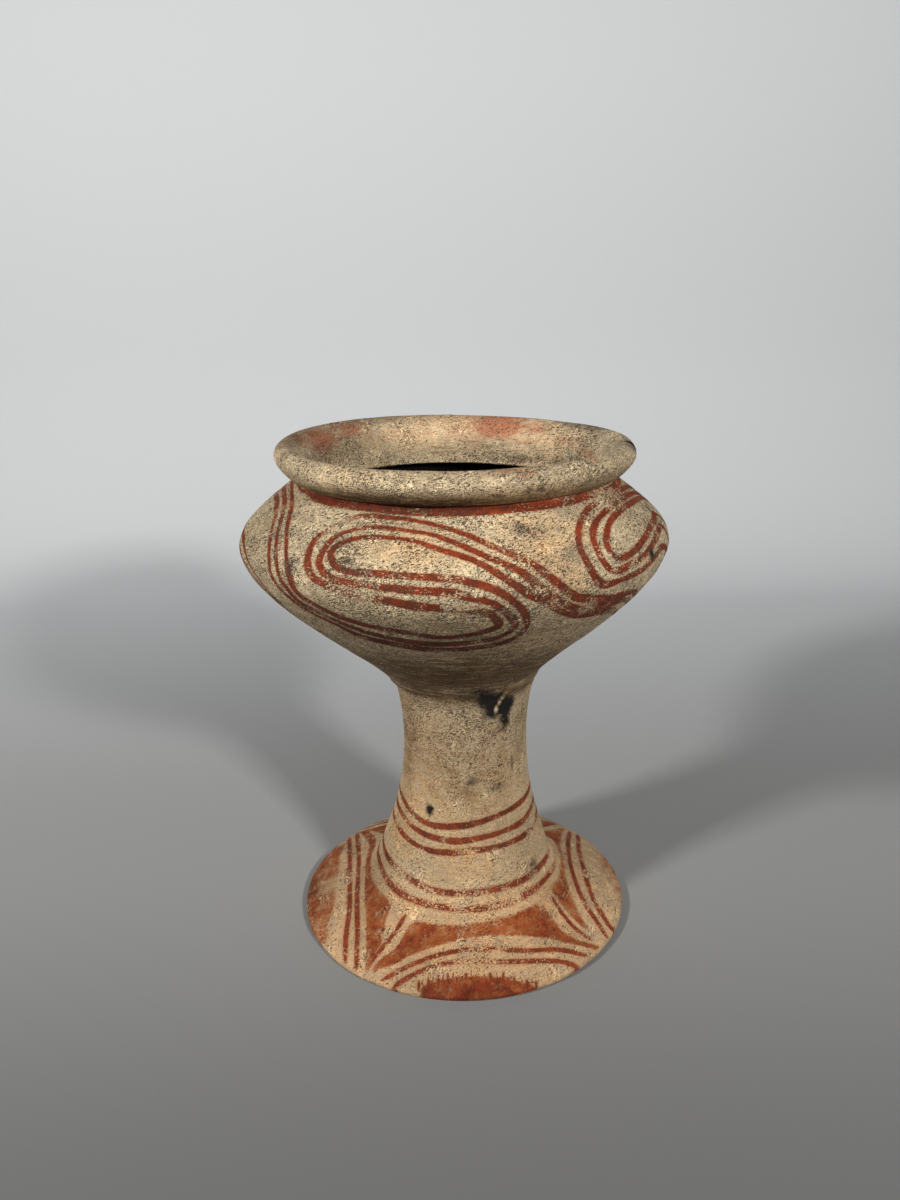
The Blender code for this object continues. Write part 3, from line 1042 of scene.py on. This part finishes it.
def clay_material(clay, paint):
    """Fired clay with specks, clouding, worn paint, scratches, burnt spots, and painted light and
    shade.
    """
    made = Recipe("painted_clay")
    mm = made.stretched(made.add("TexCoord", {}, 3), (1 / MM, 1 / MM, 1 / MM))
    soot_and_shade, smudge, grey = made.parts("stain_and_shade")
    blue, warm, pale = made.parts("tint_and_light")
    wear, press, crease_shade = made.parts("use")
    cloud = made.noise(mm, 0.035, 4, 0.6)
    mottle = made.noise(mm, 0.16, 5, 0.62)
    grain = made.noise(mm, 1.35, 3, 0.75)
    flakes = made.noise(made.stretched(mm, (1, 1, 1.5)), 1.1, 2, 0.6)
    wipe = made.noise(made.stretched(mm, (0.1, 0.1, 0.95)), 1.0, 4, 0.7)
    _, _, up = made.split(mm)

    warmth = warm * 0.9 + made.band(cloud, 0.5, 0.8, 0, 0.7)
    warmth += made.band(up, 110, 30, 0, 0.5)
    warmth *= made.band(mottle, 0.3, 0.6, 0.4, 1)
    colour = made.mix(made.clamped(warmth), clay.cream, clay.warm)
    shade = made.band(mottle, 0.3, 0.7, 0.82, 1.14)
    shade *= made.band(grain, 0.34, 0.66, 0.78, 1.22)
    rubs = made.noise(made.stretched(mm, (0.45, 0.45, 2.1)), 1.0, 4, 0.75)
    coarse = made.band(rubs, 0.36, 0.64, -0.22, 0.26) * made.band(up, 112, 135)
    shade *= 1.0 + coarse
    shade *= made.band(wipe, 0.3, 0.7, 0.88, 1.1)
    # Painted light: the pale marks on the bowl's top make it lighter.
    shade += pale * 0.25
    colour = made.shaded(colour, shade)
    light_cuts = made.scratches(mm, (0, 0.06, 0), 0.07)
    for angles in ((0, 0.9, 0.3), (0, -0.7, 0.4)):
        light_cuts = made.most(light_cuts, made.scratches(mm, angles, 0.06))
    colour = made.shaded(colour, 1.0 + light_cuts * 0.6)

    ragged = made.noise(made.stretched(mm, (0.2, 0.2, 0.5)), 1.0, 5, 0.75)
    rubbed = made.band(smudge + ragged * 2.2 + grain * 0.9, 1.55, 2.65, 0, 0.85)
    colour = made.mix(rubbed * made.band(smudge, 0.0, 0.25), colour, clay.smudge)

    thin, thick = painted(made, mm, up, grain, flakes, press, wear)
    scraped = made.band(light_cuts, 0, 1, 1, 0.5)
    thin *= scraped
    thick *= scraped
    tone = made.noise(mm, 0.2, 4, 0.65) + grain * 0.5
    colour = made.mix(thin, colour, paint.thin_red)
    # Painted light and shade on the red: lighter up the bowl's top and darker under the belly; on the
    # stem and the foot a little lighter.
    red_light_and_shade = made.most(made.band(up, 145, 190, 0.7, 1.4), made.band(up, 112, 92, 0, 1.12))
    red_light_and_shade *= made.band(tone, 0.55, 0.95, 0.7, 1.45)
    red = made.shaded(tuple(paint.red), red_light_and_shade)
    colour = made.mix(thick, colour, red)

    on_bowl = made.band(up, *STEM_TO_BOWL)
    streak = mottle + (wipe - mottle) * on_bowl + grain * 0.5
    # Grey clouding, and painted shade where grey marks lie at the stem's sides and low on the lip.
    veil = grey * made.band(streak, 0.62, 0.86, 0.5, 1.35)
    veil += made.band(cloud, 0.58, 0.34, -0.06, 0.14)
    veil *= made.band(grain, 0.3, 0.7, 1.35, 0.7)
    colour = made.mix(made.clamped(veil), colour, clay.veil, "MULTIPLY")
    # Painted shade under the lip and along the seam, in a brown tint.
    colour = made.mix(crease_shade * 0.8, colour, clay.shade_under_lip, "MULTIPLY")
    haze = blue * made.band(made.noise(mm, 0.8, 4, 0.7), 0.42, 0.58)
    colour = made.mix(haze, colour, clay.haze)

    sparse = made.band(up, 112, 60, 0, 0.07) + made.band(up, *BOWL_TO_LIP, 0, 0.02)
    sparse += pale * 0.06
    sparse += made.band(made.noise(mm, 0.07, 4, 0.65), 0.32, 0.66, 0.61, 0.525)
    sparse -= blue * 0.12
    dots = made.band(made.noise(mm, 2.3, 1, 0.6) - sparse, -0.01, 0.03)
    long_dots = made.noise(made.stretched(made.turned(mm, (0, 0.35, 0)), (0.7, 0.7, 2.3)), 1, 1, 0.6)
    dots = made.most(dots, made.band(long_dots - sparse, 0.01, 0.07))
    colour = made.mix(dots * 0.9, colour, clay.speck)
    dark_cuts = made.scratches(mm, (0.3, 1.1, 0), 0.035)
    dark_cuts = made.most(dark_cuts, made.scratches(mm, (0, -1.2, 0.7), 0.035))
    colour = made.mix(dark_cuts * 0.6, colour, clay.speck)

    # Burnt spots, and the painted shade of the inside below the throat.
    blackening = soot_and_shade - pale * 0.9 + made.noise(mm, 0.35, 4, 0.7) * 1.2 + grain * 0.35
    near = made.band(soot_and_shade, 0, 0.1)
    halo = made.band(blackening, 0.85, 1.35, 0, 0.7) * near
    colour = made.mix(halo, colour, clay.speck)
    colour = made.mix(made.band(blackening, 1.22, 1.5) * near, colour, clay.soot_and_shade)
    made.feed(made.shader.inputs["Base Color"], colour)

    made.feed(made.shader.inputs["Roughness"], made.band(mottle, 0.3, 0.7, 0.82, 0.95))
    made.shader.inputs["Specular IOR Level"].default_value = 0.25
    relief = grain - dots * 0.7 + wipe * 0.8 - dark_cuts * 0.6
    bump = made.add("Bump", {"Strength": 0.7, "Distance": 0.35 * MM, "Height": relief})
    made.feed(made.shader.inputs["Normal"], bump)
    return made.material


def paper_material(studio):
    """Plain matt paper with a faint tooth; painted shade makes it darker towards the front edge, and
    painted light paler towards the back and up the backdrop.
    """
    made = Recipe("paper")
    place = made.add("TexCoord", {}, 3)
    tooth = made.noise(place, 900, 3, 0.6)
    _, back, up = made.split(place)
    # Painted shade near the front edge, painted light towards the back and up the backdrop.
    colour = made.mix(made.band(back, -0.19, 0.03), tuple(studio.near), tuple(studio.floor))
    colour = made.mix(made.band(back, -0.05, 0.58), colour, tuple(studio.backdrop))
    colour = made.shaded(colour, made.band(up, 0.2, 0.55, 0.97, 1.12))
    colour = made.shaded(colour, made.band(tooth, 0.3, 0.7, 0.99, 1.01))
    made.feed(made.shader.inputs["Base Color"], colour)
    made.feed(made.shader.inputs["Roughness"], made.band(tooth, 0.3, 0.7, 0.9, 0.97))
    made.shader.inputs["Specular IOR Level"].default_value = 0.1
    return made.material


# Pieces and stage


class VASE_OT_body(bpy.types.Operator):
    """Turn, weather and paint the clay body"""

    bl_idname = "vase.body"
    bl_label = "Make painted body"

    def execute(self, context):
        scene = context.scene
        form = scene.vase_form
        outline = Outline(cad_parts["vase"], form)
        mesh = turned("painted_vase", outline, form.steps_around)
        place = read(mesh)
        along = read(mesh, "along", 1)
        around = np.arctan2(place[:, 1], place[:, 0])
        radius = np.hypot(place[:, 0], place[:, 1])
        write(mesh, "position", outline.leaned(around, radius, place[:, 2], along))
        mesh.update()
        normals = np.array([vert.normal for vert in mesh.vertices])
        paint_lines(mesh, outline, scene.vase_paint, normals)
        paint_washes(mesh, outline)
        stain_and_shade(mesh, outline, form)
        write(mesh, "position", uneven(read(mesh), normals, form))
        mesh.update()
        mesh.shade_smooth()
        mesh.materials.append(clay_material(scene.vase_clay, scene.vase_paint))
        piece = bpy.data.objects.new("painted_vase", mesh)
        scene.collection.objects.link(piece)
        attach(piece, "root")
        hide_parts("vase")
        return {"FINISHED"}


def soft_light(name, degrees, rise, power):
    """A small soft box that faces the pot, from degrees round from the front and up."""
    turn = math.radians(degrees - 90)
    flat = math.cos(math.radians(rise))
    ray = Vector((math.cos(turn) * flat, math.sin(turn) * flat, math.sin(math.radians(rise))))
    light = bpy.data.lights.new(name, "AREA")
    light.shape = "RECTANGLE"
    light.size, light.size_y = BOX_SIZE
    light.energy = power
    light.color = BOX_COLOUR
    lamp = bpy.data.objects.new(name, light)
    lamp.location = Vector((0, 0, BOX_AIM)) + ray * BOX_DISTANCE
    lamp.rotation_euler = ray.to_track_quat("Z", "Y").to_euler()
    bpy.context.scene.collection.objects.link(lamp)


class VASE_OT_stage(bpy.types.Operator):
    """Lay the paper and set the lights and the camera"""

    bl_idname = "vase.stage"
    bl_label = "Make stage"

    HALF_WIDTH = 0.7
    FRONT = -0.7
    BEND_START = 0.42
    BEND = 0.18
    BEND_STEPS = 16
    TOP = 0.85

    def sweep(self, studio):
        """Paper that lies under the pot and rises behind it in one soft bend."""
        profile = [(self.FRONT, 0.0), (self.BEND_START, 0.0)]
        for turn in np.linspace(0, math.pi / 2, self.BEND_STEPS + 1)[1:]:
            back = self.BEND_START + self.BEND * math.sin(turn)
            profile.append((back, self.BEND * (1 - math.cos(turn))))
        profile.append((profile[-1][0], self.TOP))
        paper = bmesh.new()
        verts = [paper.verts.new((-self.HALF_WIDTH, back, up)) for back, up in profile]
        edges = [paper.edges.new(pair) for pair in zip(verts, verts[1:])]
        wide = bmesh.ops.extrude_edge_only(paper, edges=edges)
        moved = [item for item in wide["geom"] if isinstance(item, bmesh.types.BMVert)]
        bmesh.ops.translate(paper, verts=moved, vec=(2 * self.HALF_WIDTH, 0, 0))
        bmesh.ops.recalc_face_normals(paper, faces=paper.faces)
        mesh = bpy.data.meshes.new("paper_floor")
        paper.to_mesh(mesh)
        paper.free()
        mesh.shade_smooth()
        mesh.materials.append(paper_material(studio))
        return bpy.data.objects.new("paper_floor", mesh)

    def execute(self, context):
        scene = context.scene
        studio = scene.vase_studio
        floor = self.sweep(studio)
        scene.collection.objects.link(floor)

        soft_light("right_box", *RIGHT_BOX, studio.right_power)
        soft_light("left_box", *LEFT_BOX, studio.left_power)
        world = bpy.data.worlds.new("studio")
        world.use_nodes = True
        sky = world.node_tree.nodes["Background"]
        sky.inputs["Color"].default_value = ROOM_COLOUR
        sky.inputs["Strength"].default_value = studio.room
        scene.world = world

        camera = bpy.data.cameras.new("camera")
        camera.sensor_fit = "HORIZONTAL"
        camera.sensor_width = SENSOR_WIDTH
        camera.lens = studio.focal_length
        camera.clip_start = 0.01
        view = bpy.data.objects.new("camera", camera)
        tilt = Matrix.Rotation(math.pi / 2 - studio.camera_drop, 4, "X")
        roll = Matrix.Rotation(studio.camera_roll, 4, "Z")
        view.matrix_world = Matrix.Translation(studio.camera_place) @ tilt @ roll
        scene.collection.objects.link(view)
        scene.camera = view
        scene.view_settings.view_transform = "Standard"
        return {"FINISHED"}


class VASE_PT_panel(bpy.types.Panel):
    """Sizes, colours and pieces of the vase"""

    bl_idname = "VASE_PT_panel"
    bl_label = "Clay vase"
    bl_space_type = "VIEW_3D"
    bl_region_type = "UI"
    bl_category = "Vase"

    def draw(self, context):
        layout = self.layout
        for name in GROUPS:
            group = getattr(context.scene, name)
            box = layout.box()
            for prop in group.bl_rna.properties:
                if prop.identifier not in {"rna_type", "name"}:
                    box.prop(group, prop.identifier)
        for operator in OPERATORS:
            layout.operator(operator.bl_idname)


GROUPS = {
    "vase_form": VaseForm,
    "vase_paint": VasePaint,
    "vase_clay": VaseClay,
    "vase_studio": VaseStudio,
}
OPERATORS = (VASE_OT_stage, VASE_OT_body)


def register():
    for group in GROUPS.values():
        bpy.utils.register_class(group)
    for operator in OPERATORS:
        bpy.utils.register_class(operator)
    bpy.utils.register_class(VASE_PT_panel)
    for name, group in GROUPS.items():
        setattr(bpy.types.Scene, name, PointerProperty(type=group))


def unregister():
    for name in GROUPS:
        delattr(bpy.types.Scene, name)
    bpy.utils.unregister_class(VASE_PT_panel)
    for operator in reversed(OPERATORS):
        bpy.utils.unregister_class(operator)
    for group in reversed(GROUPS.values()):
        bpy.utils.unregister_class(group)


def corners(bounds):
    """The two corners of a box as plain lists."""
    return [list(map(float, corner)) for corner in bounds]


def main():
    register()
    bpy.ops.vase.stage()
    bpy.ops.vase.body()


if __name__ == "__main__":
    main()
